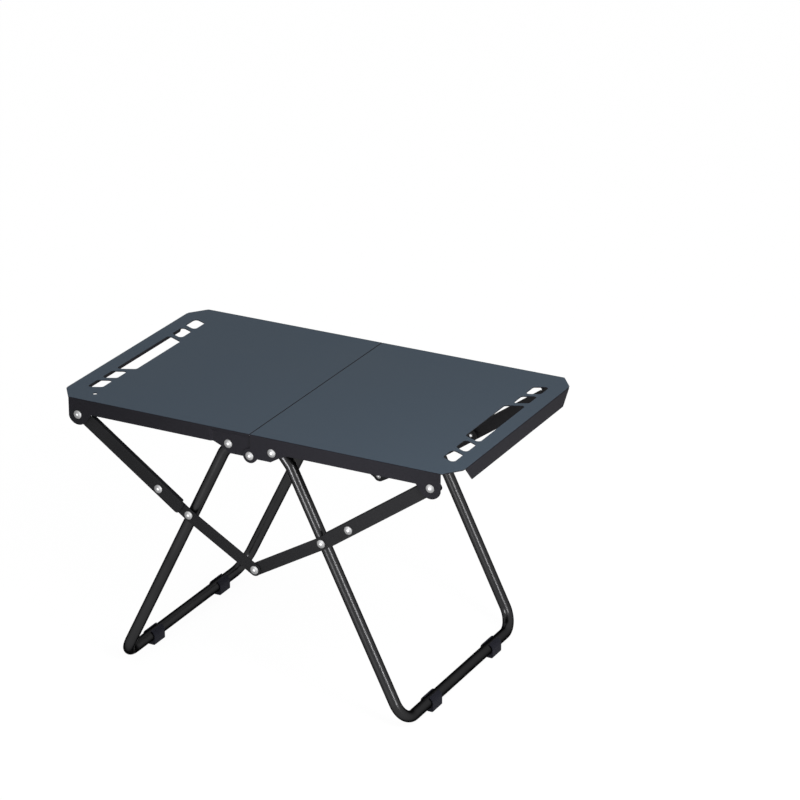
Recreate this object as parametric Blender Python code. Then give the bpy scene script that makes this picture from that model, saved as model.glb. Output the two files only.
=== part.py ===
"""Folding camp table: two hinged sheet-metal top panels, two tube leg frames and eight folding link bars.

Metres, +Z up. The origin lies on the floor under the middle of the table, X runs along the table's length and
-Y is its front. The table stands open. Every pivot turns about an axis along Y.
"""

import math

import bmesh
import bpy
from mathutils import Matrix, Vector

# Table top
TABLE_LENGTH = 0.600
TABLE_WIDTH = 0.372
TABLE_HEIGHT = 0.3915
SHEET = 0.0015
SEAM_GAP = 0.0008
CORNER_CUT_X = 0.0212
CORNER_CUT_Y = 0.0283
SIDE_FLANGE_DEPTH = 0.0205
END_FLANGE_DEPTH = 0.0215
END_FLANGE_TAPER = 0.0205
EAR_RADIUS = 0.0150
EAR_SLOPE_RUN = 0.0210
HINGE_LOBE_RADIUS = 0.0104
CENTRE_EAR_DEPTH = 0.0335
CENTRE_EAR_FLAT = 0.0310
CENTRE_EAR_SHOULDER = 0.0450
CENTRE_EAR_SHOULDER_DEPTH = 0.0250
CENTRE_EAR_REACH = 0.0560
JOGGLE_WIDTH = 0.0040

# Openings in the top
SLOT_EDGE_MARGIN = 0.0235
SLOT_WIDTH = 0.0200
SLOT_LENGTH = 0.0280
SLOT_BAR = 0.0090
SLOT_SLANT = 0.0095
SLOT_CORNER = 0.0045
SLOTS_EACH_SIDE = 2
GRIP_HALF_LENGTH = 0.0610
GRIP_EXTRA_WIDTH = 0.0060
CORNER_HOLE_FROM_END = 0.0467
CORNER_HOLE_FROM_SIDE = 0.0266
CORNER_HOLE_RADIUS = 0.0031

# Pivots of the folding linkage, right-hand side. Drops are distances below the top
HINGE_DROP = 0.0303
LEG_PIVOT_X = 0.0330
LEG_PIVOT_DROP = 0.0200
EAR_PIVOT_FROM_END = 0.0356
EAR_PIVOT_DROP = 0.0228
CROSS_PIVOT_X = 0.1000
CROSS_PIVOT_DROP = 0.1392
CENTRE_PIVOT_DROP = 0.1979
UPPER_LINK_LENGTH = 0.1480

# Leg frames
TUBE_RADIUS = 0.0080
TUBE_WALL = 0.0012
TUBE_INSET = 0.0195
TUBE_BEND_RADIUS = 0.0300
TUBE_NECK_BEND_RADIUS = 0.0250
TUBE_NECK_REACH = 0.0220
TUBE_END_PAST_PIVOT = 0.0090
TUBE_INBOARD = 0.0015
BAR_X = 0.2170
PLUG_CAP = 0.0016
PLUG_INSERT = 0.0040
PLUG_CAP_RADIUS = 0.0078

# Link bars
LINK_SHEET = 0.0015
UPPER_LINK_ABOVE = 0.0106
UPPER_LINK_BELOW = 0.0090
UPPER_LINK_PAST_EAR = 0.0140
UPPER_LINK_PAST_KNEE = 0.0410
UPPER_LINK_CORNER = 0.0050
LOWER_LINK_HALF_WIDTH = 0.0088

# Rivets, washers and spacers
GAP = 0.0003
SHANK_RADIUS = 0.0025
HEAD_RADIUS = 0.0061
HEAD_HEIGHT = 0.0017
TAIL_RADIUS = 0.0040
TAIL_HEIGHT = 0.0012
SPACER_RADIUS = 0.0046
KNEE_SPACER = 0.0018

# Feet
FOOT_Y_FRONT = -0.0860
FOOT_Y_REAR = 0.0950
FOOT_PAD = 0.0040
FOOT_WALL = 0.0015
FOOT_HALF_LENGTH = 0.0135
FOOT_WRAP = math.radians(65)
FOOT_CHAMFER = 0.0018

# Facets
TUBE_SIDES = 16
BEND_STEPS = 8
RIVET_SIDES = 14
HOLE_SIDES = 14
ARC_STEP = math.radians(15)

HALF_LENGTH = TABLE_LENGTH / 2
HALF_WIDTH = TABLE_WIDTH / 2
TUBE_CENTRE_Y = HALF_WIDTH - TUBE_INSET
CORNER_HOLE = (CORNER_HOLE_FROM_END - HALF_LENGTH, CORNER_HOLE_FROM_SIDE - HALF_WIDTH)
BAR_HEIGHT = TUBE_RADIUS + FOOT_PAD
HOLE_RADIUS = SHANK_RADIUS + GAP

# Layers at each long side, as distances from the middle plane to the outer and inner face
FLANGE_LAYER = (HALF_WIDTH, HALF_WIDTH - SHEET)
RECESSED_LAYER = (FLANGE_LAYER[1] - GAP, FLANGE_LAYER[1] - GAP - SHEET)
TUBE_LAYER = (TUBE_CENTRE_Y + TUBE_RADIUS, TUBE_CENTRE_Y - TUBE_RADIUS)
RIGHT_LOWER_LAYER = (TUBE_LAYER[0] + GAP + LINK_SHEET, TUBE_LAYER[0] + GAP)
LEFT_LOWER_LAYER = (RIGHT_LOWER_LAYER[0] + GAP + LINK_SHEET, RIGHT_LOWER_LAYER[0] + GAP)
UPPER_WEB_INNER = LEFT_LOWER_LAYER[0] + KNEE_SPACER + 2 * GAP
UPPER_LAYER = (UPPER_WEB_INNER + LINK_SHEET, UPPER_WEB_INNER)
LOWER_LAYER = {-1: LEFT_LOWER_LAYER, 1: RIGHT_LOWER_LAYER}
CENTRE_EAR_LAYER = {-1: RECESSED_LAYER, 1: FLANGE_LAYER}

SIDES = {"left": -1, "right": 1}
ENDS = {"front": -1, "rear": 1}
FOOT_CENTRE_Y = {"front": FOOT_Y_FRONT, "rear": FOOT_Y_REAR}


def height(drop):
    """The z of a point that lies the given distance below the table top."""
    return TABLE_HEIGHT - drop


HINGE = Vector((0.0, height(HINGE_DROP)))
LEG_PIVOT = Vector((LEG_PIVOT_X, height(LEG_PIVOT_DROP)))
EAR_PIVOT = Vector((HALF_LENGTH - EAR_PIVOT_FROM_END, height(EAR_PIVOT_DROP)))
CROSS_PIVOT = Vector((CROSS_PIVOT_X, height(CROSS_PIVOT_DROP)))
CENTRE_PIVOT = Vector((0.0, height(CENTRE_PIVOT_DROP)))
BAR = Vector((BAR_X, BAR_HEIGHT))
KNEE_PIVOT = EAR_PIVOT + (CROSS_PIVOT - EAR_PIVOT).normalized() * UPPER_LINK_LENGTH


def clear_scene():
    """Removes every object, so that the model starts from nothing."""
    for thing in list(bpy.data.objects):
        bpy.data.objects.remove(thing, do_unlink=True)


def material(name, colour, roughness, metallic):
    """A Principled material with one colour, roughness and metallic value."""
    made = bpy.data.materials.new(name)
    made.use_nodes = True
    shader = made.node_tree.nodes["Principled BSDF"]
    shader.inputs["Base Color"].default_value = (*colour, 1.0)
    shader.inputs["Roughness"].default_value = roughness
    shader.inputs["Metallic"].default_value = metallic
    made.diffuse_color = (*colour, 1.0)
    return made


def materials():
    """One material for each kind of surface on the table."""
    return {
        "top": material("slate_powder_coat", (0.063, 0.082, 0.102), 0.55, 0.1),
        "tube": material("black_gloss_tube", (0.012, 0.012, 0.013), 0.25, 0.2),
        "link": material("black_link_paint", (0.016, 0.016, 0.018), 0.5, 0.1),
        "rivet": material("bright_rivet", (0.72, 0.72, 0.74), 0.25, 1.0),
        "foot": material("foot_rubber", (0.012, 0.013, 0.022), 0.75, 0.0),
        "plug": material("plug_plastic", (0.014, 0.014, 0.015), 0.55, 0.0),
    }


def arc(centre, radius, start, end):
    """Points on an arc from one angle to another, both ends included, a step or less apart."""
    steps = max(1, math.ceil(abs(end - start) / ARC_STEP - 1e-6))
    turns = [start + (end - start) * i / steps for i in range(steps + 1)]
    return [Vector((centre[0] + radius * math.cos(t), centre[1] + radius * math.sin(t))) for t in turns]


def circle(centre, radius, sides):
    """A closed ring of points, without the first one repeated."""
    turns = [2 * math.pi * i / sides for i in range(sides)]
    return [Vector((centre[0] + radius * math.cos(t), centre[1] + radius * math.sin(t))) for t in turns]


def rounded(points, radius):
    """A closed outline with each corner replaced by an arc that touches both of its edges."""
    made = []
    for i, corner in enumerate(points):
        corner = Vector(corner)
        back = (Vector(points[i - 1]) - corner).normalized()
        ahead = (Vector(points[(i + 1) % len(points)]) - corner).normalized()
        half_angle = back.angle(ahead) / 2
        run = radius / math.tan(half_angle)
        middle = corner + (back + ahead).normalized() * radius / math.sin(half_angle)
        first = corner + back * run - middle
        last = corner + ahead * run - middle
        start = math.atan2(first.y, first.x)
        sweep = math.atan2(first.x * last.y - first.y * last.x, first.dot(last))
        made += arc(middle, radius, start, start + sweep)
    return made


def mirrored(points, side):
    """Side-view points for one half of the table, from those of the right half."""
    return [Vector((point[0] * side, point[1])) for point in points]


def to_xz(u, v, w):
    """Side view: u along x, v along z, and w along y."""
    return (u, w, v)


def to_xy(u, v, w):
    """Top view: u along x, v along y, and w along z."""
    return (u, v, w)


def to_yz(u, v, w):
    """End view: u along y, v along z, and w along x."""
    return (w, u, v)


def finish(name, bm, look=None):
    """Turns a bmesh into an object with its faces pointing out, smooth where it is round."""
    bmesh.ops.recalc_face_normals(bm, faces=bm.faces)
    mesh = bpy.data.meshes.new(name)
    bm.to_mesh(mesh)
    bm.free()
    mesh.shade_smooth()
    mesh.set_sharp_from_angle(angle=math.radians(32))
    made = bpy.data.objects.new(name, mesh)
    bpy.context.collection.objects.link(made)
    if look is not None:
        mesh.materials.append(look)
    return made


def plate(bm, outline, holes, low, high, place):
    """A flat plate with holes: fills the outline around the holes and extrudes it between two levels."""
    edges = []
    for loop in [outline] + holes:
        ring = [bm.verts.new(place(point[0], point[1], low)) for point in loop]
        edges += [bm.edges.new((ring[i - 1], ring[i])) for i in range(len(ring))]
    filled = bmesh.ops.triangle_fill(bm, use_beauty=True, edges=edges)
    faces = [item for item in filled["geom"] if isinstance(item, bmesh.types.BMFace)]
    raised = bmesh.ops.extrude_face_region(bm, geom=faces)
    verts = [item for item in raised["geom"] if isinstance(item, bmesh.types.BMVert)]
    shift = Vector(place(0.0, 0.0, high)) - Vector(place(0.0, 0.0, low))
    bmesh.ops.translate(bm, vec=shift, verts=verts)


def turned(bm, profile, centre, sides):
    """A closed turned piece about an axis along Y: profile lists (radius, y) from one end to the other."""
    rings = []
    for radius, y in profile:
        if radius == 0.0:
            rings.append([bm.verts.new((centre[0], y, centre[1]))])
        else:
            ring = circle(centre, radius, sides)
            rings.append([bm.verts.new((point.x, y, point.y)) for point in ring])
    for low, high in zip(rings, rings[1:]):
        for i in range(sides):
            j = (i + 1) % sides
            corners = [low[i % len(low)], low[j % len(low)], high[j % len(high)], high[i % len(high)]]
            bm.faces.new(list(dict.fromkeys(corners)))
    return rings


def ring_solid(bm, inner, outer, y_low, y_high, centre, sides):
    """A washer or spacer about an axis along Y."""
    profile = [(inner, y_low), (outer, y_low), (outer, y_high), (inner, y_high)]
    rings = turned(bm, profile, centre, sides)
    for i in range(sides):
        j = (i + 1) % sides
        bm.faces.new((rings[3][i], rings[3][j], rings[0][j], rings[0][i]))


def fuse(base, pieces, operation):
    """Joins solids to a base, or cuts them from it, and leaves one plain mesh."""
    for piece in pieces:
        modifier = base.modifiers.new(piece.name, "BOOLEAN")
        modifier.operation = operation
        modifier.solver = "EXACT"
        modifier.object = piece
    graph = bpy.context.evaluated_depsgraph_get()
    joined = bpy.data.meshes.new_from_object(base.evaluated_get(graph))
    base.modifiers.clear()
    looks = list(base.data.materials)
    base.data = joined
    joined.name = base.name
    joined.materials.clear()
    for look in looks:
        joined.materials.append(look)
    for piece in pieces:
        bpy.data.objects.remove(piece, do_unlink=True)
    joined.shade_smooth()
    joined.set_sharp_from_angle(angle=math.radians(32))
    return base


def pivot(name, point, side=1):
    """An empty on a joint's axis, in the middle of the table's width."""
    made = bpy.data.objects.new(name, None)
    made.location = (point[0] * side, 0.0, point[1])
    made.empty_display_size = 0.02
    bpy.context.collection.objects.link(made)
    return made


def hang(piece, empty):
    """Parents a piece to its joint's empty, with the piece's origin on the joint's axis."""
    piece.data.transform(Matrix.Translation(-empty.location))
    piece.parent = empty


def layer_y(layer, end):
    """The outer and inner y of a layer at the front or the rear side."""
    return end * layer[0], end * layer[1]


def slot_outlines(side):
    """The grip slot and the small slots of one panel end, as top-view outlines."""
    outer = HALF_LENGTH - SLOT_EDGE_MARGIN
    inner = outer - SLOT_WIDTH
    grip_inner = inner - GRIP_EXTRA_WIDTH
    slope = SLOT_SLANT / SLOT_WIDTH
    grip_short = GRIP_HALF_LENGTH - GRIP_EXTRA_WIDTH * slope
    grip_long = GRIP_HALF_LENGTH + SLOT_SLANT
    grip = [(outer, -grip_long), (outer, grip_long), (grip_inner, grip_short), (grip_inner, -grip_short)]
    outlines = [grip]
    for end in (-1, 1):
        for i in range(SLOTS_EACH_SIDE):
            near = GRIP_HALF_LENGTH + SLOT_BAR + i * (SLOT_LENGTH + SLOT_BAR)
            far = near + SLOT_LENGTH
            corners = [(inner, near), (outer, near + SLOT_SLANT), (outer, far + SLOT_SLANT), (inner, far)]
            outlines.append([(x, y * end) for x, y in corners])
    return [rounded(mirrored(outline, side), SLOT_CORNER) for outline in outlines]


def sheet_outline(side):
    """The top view of one panel's flat sheet, with its two cut corners."""
    start = SEAM_GAP / 2
    corner_x = HALF_LENGTH - CORNER_CUT_X
    corner_y = HALF_WIDTH - CORNER_CUT_Y
    half = [(start, -HALF_WIDTH), (corner_x, -HALF_WIDTH), (HALF_LENGTH, -corner_y)]
    other = [(x, -y) for x, y in reversed(half)]
    return mirrored(half + other, side)


def end_ear():
    """The side-view edge of the flange from its outer end, round the link's ear, to its straight lower edge."""
    outer = HALF_LENGTH - CORNER_CUT_X
    reach = max(-1.0, min(1.0, (outer - EAR_PIVOT.x) / EAR_RADIUS))
    start = -math.acos(reach)
    flange_end = Vector((EAR_PIVOT.x - EAR_SLOPE_RUN, height(SIDE_FLANGE_DEPTH)))
    away = flange_end - EAR_PIVOT
    tangent = math.atan2(away.y, away.x) - 2 * math.pi * (away.y > 0)
    tangent += math.acos(min(1.0, EAR_RADIUS / away.length))
    return arc(EAR_PIVOT, EAR_RADIUS, start, tangent) + [flange_end]


def centre_ear():
    """The side-view edge of the ear with the leg's pivot and the hinge lobe, up to the seam."""
    seam = SEAM_GAP / 2
    rise = (HINGE.y - height(CENTRE_EAR_DEPTH)) / HINGE_LOBE_RADIUS
    start = -math.asin(rise)
    end = -math.pi * 3 / 2 - math.asin(seam / HINGE_LOBE_RADIUS)
    lobe = arc(HINGE, HINGE_LOBE_RADIUS, start, end)
    edge = [
        Vector((CENTRE_EAR_REACH, height(SIDE_FLANGE_DEPTH))),
        Vector((CENTRE_EAR_SHOULDER, height(CENTRE_EAR_SHOULDER_DEPTH))),
        Vector((CENTRE_EAR_FLAT, height(CENTRE_EAR_DEPTH))),
    ]
    return edge + lobe


def side_flange(name, side, end):
    """One long side's flange with its ears. The left one steps inward behind the right one at the hinge."""
    top = height(SHEET / 2)
    outer_x = HALF_LENGTH - CORNER_CUT_X
    ear_hole = circle(EAR_PIVOT, HOLE_RADIUS, HOLE_SIDES)
    ear_holes = [circle(LEG_PIVOT, HOLE_RADIUS, HOLE_SIDES), circle(HINGE, HOLE_RADIUS, HOLE_SIDES)]
    seam_top = [Vector((SEAM_GAP / 2, top))]
    bm = bmesh.new()
    if CENTRE_EAR_LAYER[side] == FLANGE_LAYER:
        outline = [Vector((outer_x, top))] + end_ear() + centre_ear() + seam_top
        holes = [mirrored(hole, side) for hole in [ear_hole] + ear_holes]
        plate(bm, mirrored(outline, side), holes, *layer_y(FLANGE_LAYER, end), to_xz)
        return [finish(name, bm)]
    bottom = height(SIDE_FLANGE_DEPTH)
    step = CENTRE_EAR_REACH + JOGGLE_WIDTH
    long_part = [Vector((outer_x, top))] + end_ear()
    long_part += [Vector((CENTRE_EAR_REACH, bottom)), Vector((CENTRE_EAR_REACH, top))]
    plate(bm, mirrored(long_part, side), [mirrored(ear_hole, side)], *layer_y(FLANGE_LAYER, end), to_xz)
    pieces = [finish(name, bm)]
    bm = bmesh.new()
    recessed = [Vector((step, top)), Vector((step, bottom))] + centre_ear() + seam_top
    holes = [mirrored(hole, side) for hole in ear_holes]
    plate(bm, mirrored(recessed, side), holes, *layer_y(RECESSED_LAYER, end), to_xz)
    pieces.append(finish(name + "_ear", bm))
    bm = bmesh.new()
    block = [(step, top), (step, bottom), (CENTRE_EAR_REACH, bottom), (CENTRE_EAR_REACH, top)]
    plate(bm, mirrored(block, side), [], end * FLANGE_LAYER[0], end * RECESSED_LAYER[1], to_xz)
    pieces.append(finish(name + "_step", bm))
    return pieces


def end_flange(name, side):
    """The turned-down flange at a panel's short end, narrower at its lower edge."""
    top_half = HALF_WIDTH - CORNER_CUT_Y
    low_half = top_half - END_FLANGE_TAPER
    top = height(SHEET / 2)
    bottom = height(END_FLANGE_DEPTH)
    outline = [(-top_half, top), (top_half, top), (low_half, bottom), (-low_half, bottom)]
    bm = bmesh.new()
    plate(bm, outline, [], side * HALF_LENGTH, side * (HALF_LENGTH - SHEET), to_yz)
    return finish(name, bm)


def top_panel(name, side, look):
    """One half of the table top: sheet with slots, side flanges with ears and an end flange, in one piece."""
    holes = slot_outlines(side)
    if CORNER_HOLE[0] * side > 0:
        holes.append(circle(CORNER_HOLE, CORNER_HOLE_RADIUS, HOLE_SIDES))
    bm = bmesh.new()
    plate(bm, sheet_outline(side), holes, height(SHEET), height(0.0), to_xy)
    panel = finish(name, bm, look)
    additions = [end_flange(name + "_end", side)]
    for word, end in ENDS.items():
        additions += side_flange(f"{name}_{word}", side, end)
    return fuse(panel, additions, "UNION")


def corner_arc(before, corner, after, radius, steps):
    """Points of a bend of the given radius between two straight runs of tube."""
    back = (before - corner).normalized()
    ahead = (after - corner).normalized()
    half_angle = back.angle(ahead) / 2
    centre = corner + (back + ahead).normalized() * radius / math.sin(half_angle)
    first = corner + back * radius / math.tan(half_angle) - centre
    axis = ahead.cross(back).normalized()
    sweep = math.pi - 2 * half_angle
    return [centre + Matrix.Rotation(sweep * i / steps, 3, axis) @ first for i in range(steps + 1)]


def leg_route(side):
    """The middle line of one U-shaped leg frame, from its front pivot end round to its rear one."""
    crossing = CROSS_PIVOT - Vector((TUBE_INBOARD, 0.0))
    straight = (crossing - BAR).normalized()
    level = LEG_PIVOT.y - TUBE_NECK_REACH
    neck = crossing + straight * (level - crossing.y) / straight.y
    end = LEG_PIVOT + (LEG_PIVOT - neck).normalized() * TUBE_END_PAST_PIVOT
    half = [end, neck, BAR]
    corners = [Vector((p.x * side, -TUBE_CENTRE_Y, p.y)) for p in half]
    corners += [Vector((p.x * side, TUBE_CENTRE_Y, p.y)) for p in reversed(half)]
    radii = [0.0, TUBE_NECK_BEND_RADIUS, TUBE_BEND_RADIUS, TUBE_BEND_RADIUS, TUBE_NECK_BEND_RADIUS, 0.0]
    steps = [0, 2, BEND_STEPS, BEND_STEPS, 2, 0]
    route = [corners[0]]
    for i in range(1, len(corners) - 1):
        route += corner_arc(corners[i - 1], corners[i], corners[i + 1], radii[i], steps[i])
    return route + [corners[-1]]


def tube(bm, route, outer, inner, sides):
    """A hollow round tube along a route, open at both ends."""
    tangents = []
    for i in range(len(route)):
        step = route[min(i + 1, len(route) - 1)] - route[max(i - 1, 0)]
        tangents.append(step.normalized())
    normal = Vector((0.0, 1.0, 0.0))
    skins = {outer: [], inner: []}
    for i, (point, tangent) in enumerate(zip(route, tangents)):
        if i:
            normal = tangents[i - 1].rotation_difference(tangent) @ normal
        normal = (normal - tangent * normal.dot(tangent)).normalized()
        other = tangent.cross(normal)
        for radius, rings in skins.items():
            turns = [2 * math.pi * j / sides for j in range(sides)]
            spread = [normal * math.cos(t) + other * math.sin(t) for t in turns]
            rings.append([bm.verts.new(point + way * radius) for way in spread])
    for rings in skins.values():
        for low, high in zip(rings, rings[1:]):
            for j in range(sides):
                k = (j + 1) % sides
                bm.faces.new((low[j], low[k], high[k], high[j]))
    for index in (0, -1):
        for j in range(sides):
            k = (j + 1) % sides
            a, b = skins[outer][index], skins[inner][index]
            bm.faces.new((a[j], a[k], b[k], b[j]))


def leg_frame(name, side, look):
    """A bent tube leg frame, drilled across for its two pivot rivets."""
    bm = bmesh.new()
    tube(bm, leg_route(side), TUBE_RADIUS, TUBE_RADIUS - TUBE_WALL, TUBE_SIDES)
    frame = finish(name, bm, look)
    drills = []
    for word, end in ENDS.items():
        bm = bmesh.new()
        reach = end * (TUBE_LAYER[0] + 2 * TUBE_WALL), end * (TUBE_LAYER[1] - 2 * TUBE_WALL)
        plate(bm, mirrored(circle(LEG_PIVOT, HOLE_RADIUS, HOLE_SIDES), side), [], *reach, to_xz)
        drills.append(finish(f"{name}_drill_{word}", bm))
    return fuse(frame, drills, "DIFFERENCE")


def tube_plug(name, side, end, look):
    """The end plug of one leg: a low round cap with a short spigot inside the tube."""
    route = leg_route(side)
    if end > 0:
        route.reverse()
    way = (route[0] - route[1]).normalized()
    spigot = TUBE_RADIUS - TUBE_WALL - GAP
    profile = [
        (0.0, -PLUG_INSERT),
        (spigot, -PLUG_INSERT),
        (spigot, GAP),
        (PLUG_CAP_RADIUS, GAP),
        (PLUG_CAP_RADIUS * 0.92, GAP + PLUG_CAP * 0.7),
        (PLUG_CAP_RADIUS * 0.6, GAP + PLUG_CAP),
        (0.0, GAP + PLUG_CAP),
    ]
    bm = bmesh.new()
    turned(bm, profile, (0.0, 0.0), TUBE_SIDES)
    turn = Vector((0.0, 1.0, 0.0)).rotation_difference(way).to_matrix().to_4x4()
    bmesh.ops.transform(bm, matrix=Matrix.Translation(route[0]) @ turn, verts=bm.verts)
    return finish(name, bm, look)


def foot(name, side, centre_y, look):
    """A rubber clip that wraps the bottom bar, open along its top, with straight cheeks and a flat sole."""
    bore = TUBE_RADIUS + GAP
    outer = bore + FOOT_WALL
    section = arc((0.0, BAR.y), outer, math.pi - FOOT_WRAP, math.pi)
    sole = outer - FOOT_CHAMFER
    section += [(-outer, FOOT_CHAMFER), (-sole, 0.0), (sole, 0.0), (outer, FOOT_CHAMFER)]
    section += arc((0.0, BAR.y), outer, 0.0, FOOT_WRAP)
    section += arc((0.0, BAR.y), bore, FOOT_WRAP, -math.pi - FOOT_WRAP)
    outline = [Vector((point[0] + BAR.x * side, point[1])) for point in section]
    bm = bmesh.new()
    plate(bm, outline, [], centre_y - FOOT_HALF_LENGTH, centre_y + FOOT_HALF_LENGTH, to_xz)
    return finish(name, bm, look)


def upper_link(name, side, end, look):
    """A folded link bar: a flat web that faces outward and a narrow flange along its upper edge."""
    way = (KNEE_PIVOT - EAR_PIVOT).normalized()
    up = Vector((way.y, -way.x))
    if up.y < 0:
        up = -up
    start = EAR_PIVOT - way * UPPER_LINK_PAST_EAR
    finish_point = KNEE_PIVOT + way * UPPER_LINK_PAST_KNEE
    corners = [
        start + up * UPPER_LINK_ABOVE,
        start - up * UPPER_LINK_BELOW,
        finish_point - up * UPPER_LINK_BELOW,
        finish_point + up * UPPER_LINK_ABOVE,
    ]
    holes = [circle(point, HOLE_RADIUS, HOLE_SIDES) for point in (EAR_PIVOT, KNEE_PIVOT)]
    bm = bmesh.new()
    outline = mirrored(rounded(corners, UPPER_LINK_CORNER), side)
    plate(bm, outline, [mirrored(hole, side) for hole in holes], *layer_y(UPPER_LAYER, end), to_xz)
    web = finish(name, bm, look)
    lip_start = EAR_PIVOT + way * EAR_RADIUS
    lip_end = finish_point - way * UPPER_LINK_CORNER
    lip = [
        lip_start + up * UPPER_LINK_ABOVE,
        lip_start + up * (UPPER_LINK_ABOVE - LINK_SHEET),
        lip_end + up * (UPPER_LINK_ABOVE - LINK_SHEET),
        lip_end + up * UPPER_LINK_ABOVE,
    ]
    bm = bmesh.new()
    low, high = end * (UPPER_LAYER[0] - LINK_SHEET / 2), end * (TUBE_LAYER[0] + GAP)
    plate(bm, mirrored(lip, side), [], low, high, to_xz)
    return fuse(web, [finish(name + "_lip", bm)], "UNION")


def lower_link(name, side, end, look):
    """A flat link bar with a slight bend where it crosses the leg, rounded at both ends."""
    knee_way = (CROSS_PIVOT - KNEE_PIVOT).normalized()
    centre_way = (CENTRE_PIVOT - CROSS_PIVOT).normalized()
    knee_side = Vector((-knee_way.y, knee_way.x))
    centre_side = Vector((-centre_way.y, centre_way.x))
    half = LOWER_LINK_HALF_WIDTH
    bend = (knee_side + centre_side).normalized()
    start = math.atan2(knee_side.y, knee_side.x)
    outline = arc(KNEE_PIVOT, half, start, start + math.pi)
    outline.append(CROSS_PIVOT - bend * half)
    start = math.atan2(-centre_side.y, -centre_side.x)
    outline += arc(CENTRE_PIVOT, half, start, start + math.pi)
    outline.append(CROSS_PIVOT + bend * half)
    holes = [circle(point, HOLE_RADIUS, HOLE_SIDES) for point in (KNEE_PIVOT, CROSS_PIVOT, CENTRE_PIVOT)]
    bm = bmesh.new()
    holes = [mirrored(hole, side) for hole in holes]
    plate(bm, mirrored(outline, side), holes, *layer_y(LOWER_LAYER[side], end), to_xz)
    return finish(name, bm, look)


def rivet(bm, point, end, head_seat, shank_end, tail_seat=None):
    """A domed rivet: head on head_seat, and a shank that ends at shank_end or in a tail on tail_seat."""
    base = head_seat + GAP
    profile = [(0.0, base + HEAD_HEIGHT)]
    profile.append((HEAD_RADIUS * 0.45, base + HEAD_HEIGHT * 0.92))
    profile.append((HEAD_RADIUS * 0.8, base + HEAD_HEIGHT * 0.6))
    profile += [(HEAD_RADIUS, base + HEAD_HEIGHT * 0.15), (HEAD_RADIUS, base), (SHANK_RADIUS, base)]
    if tail_seat is None:
        profile += [(SHANK_RADIUS, shank_end), (0.0, shank_end)]
    else:
        seat = tail_seat - GAP
        profile += [(SHANK_RADIUS, seat), (TAIL_RADIUS, seat)]
        profile += [(TAIL_RADIUS, seat - TAIL_HEIGHT), (0.0, seat - TAIL_HEIGHT)]
    turned(bm, [(radius, y * end) for radius, y in profile], point, RIVET_SIDES)


def side_point(point, side):
    """A pivot's side-view point on the left or the right half."""
    return point[0] * side, point[1]


def panel_hardware(word, side, place, end, looks, empty):
    """The rivets, washer and spacer that stay with one top panel at its front or rear side."""
    ear = side_point(EAR_PIVOT, side)
    leg = side_point(LEG_PIVOT, side)
    seat = CENTRE_EAR_LAYER[side]
    bm = bmesh.new()
    rivet(bm, ear, end, FLANGE_LAYER[0], None, UPPER_LAYER[1])
    hang(finish(f"ear_rivet_{word}_{place}", bm, looks["rivet"]), empty)
    bm = bmesh.new()
    low, high = end * (UPPER_LAYER[0] + GAP), end * (FLANGE_LAYER[1] - GAP)
    ring_solid(bm, HOLE_RADIUS, SPACER_RADIUS, low, high, ear, RIVET_SIDES)
    hang(finish(f"ear_washer_{word}_{place}", bm, looks["plug"]), empty)
    bm = bmesh.new()
    rivet(bm, leg, end, seat[0], None, TUBE_LAYER[1])
    hang(finish(f"leg_rivet_{word}_{place}", bm, looks["rivet"]), empty)
    bm = bmesh.new()
    low, high = end * (TUBE_LAYER[0] + GAP), end * (seat[1] - GAP)
    ring_solid(bm, HOLE_RADIUS, SPACER_RADIUS, low, high, leg, RIVET_SIDES)
    hang(finish(f"leg_spacer_{word}_{place}", bm, looks["link"]), empty)


def hinge_rivet(place, end, looks, empty):
    """The rivet on which the two panels turn, at the front or at the rear."""
    bm = bmesh.new()
    rivet(bm, HINGE, end, FLANGE_LAYER[0], None, RECESSED_LAYER[1])
    hang(finish(f"hinge_rivet_{place}", bm, looks["rivet"]), empty)


def upper_group(word, side, place, end, looks):
    """One upper link bar with its knee rivet and spacer, hung on the ear's axis."""
    empty = pivot(f"pivot_ear_{word}_{place}", EAR_PIVOT, side)
    hang(upper_link(f"upper_link_{word}_{place}", side, end, looks["link"]), empty)
    knee = side_point(KNEE_PIVOT, side)
    bm = bmesh.new()
    rivet(bm, knee, end, UPPER_LAYER[0], LOWER_LAYER[side][1])
    hang(finish(f"knee_rivet_{word}_{place}", bm, looks["rivet"]), empty)
    bm = bmesh.new()
    high = UPPER_LAYER[1] - GAP
    low = LOWER_LAYER[side][0] + GAP
    ring_solid(bm, HOLE_RADIUS, SPACER_RADIUS, low * end, high * end, knee, RIVET_SIDES)
    hang(finish(f"knee_spacer_{word}_{place}", bm, looks["link"]), empty)


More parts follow.
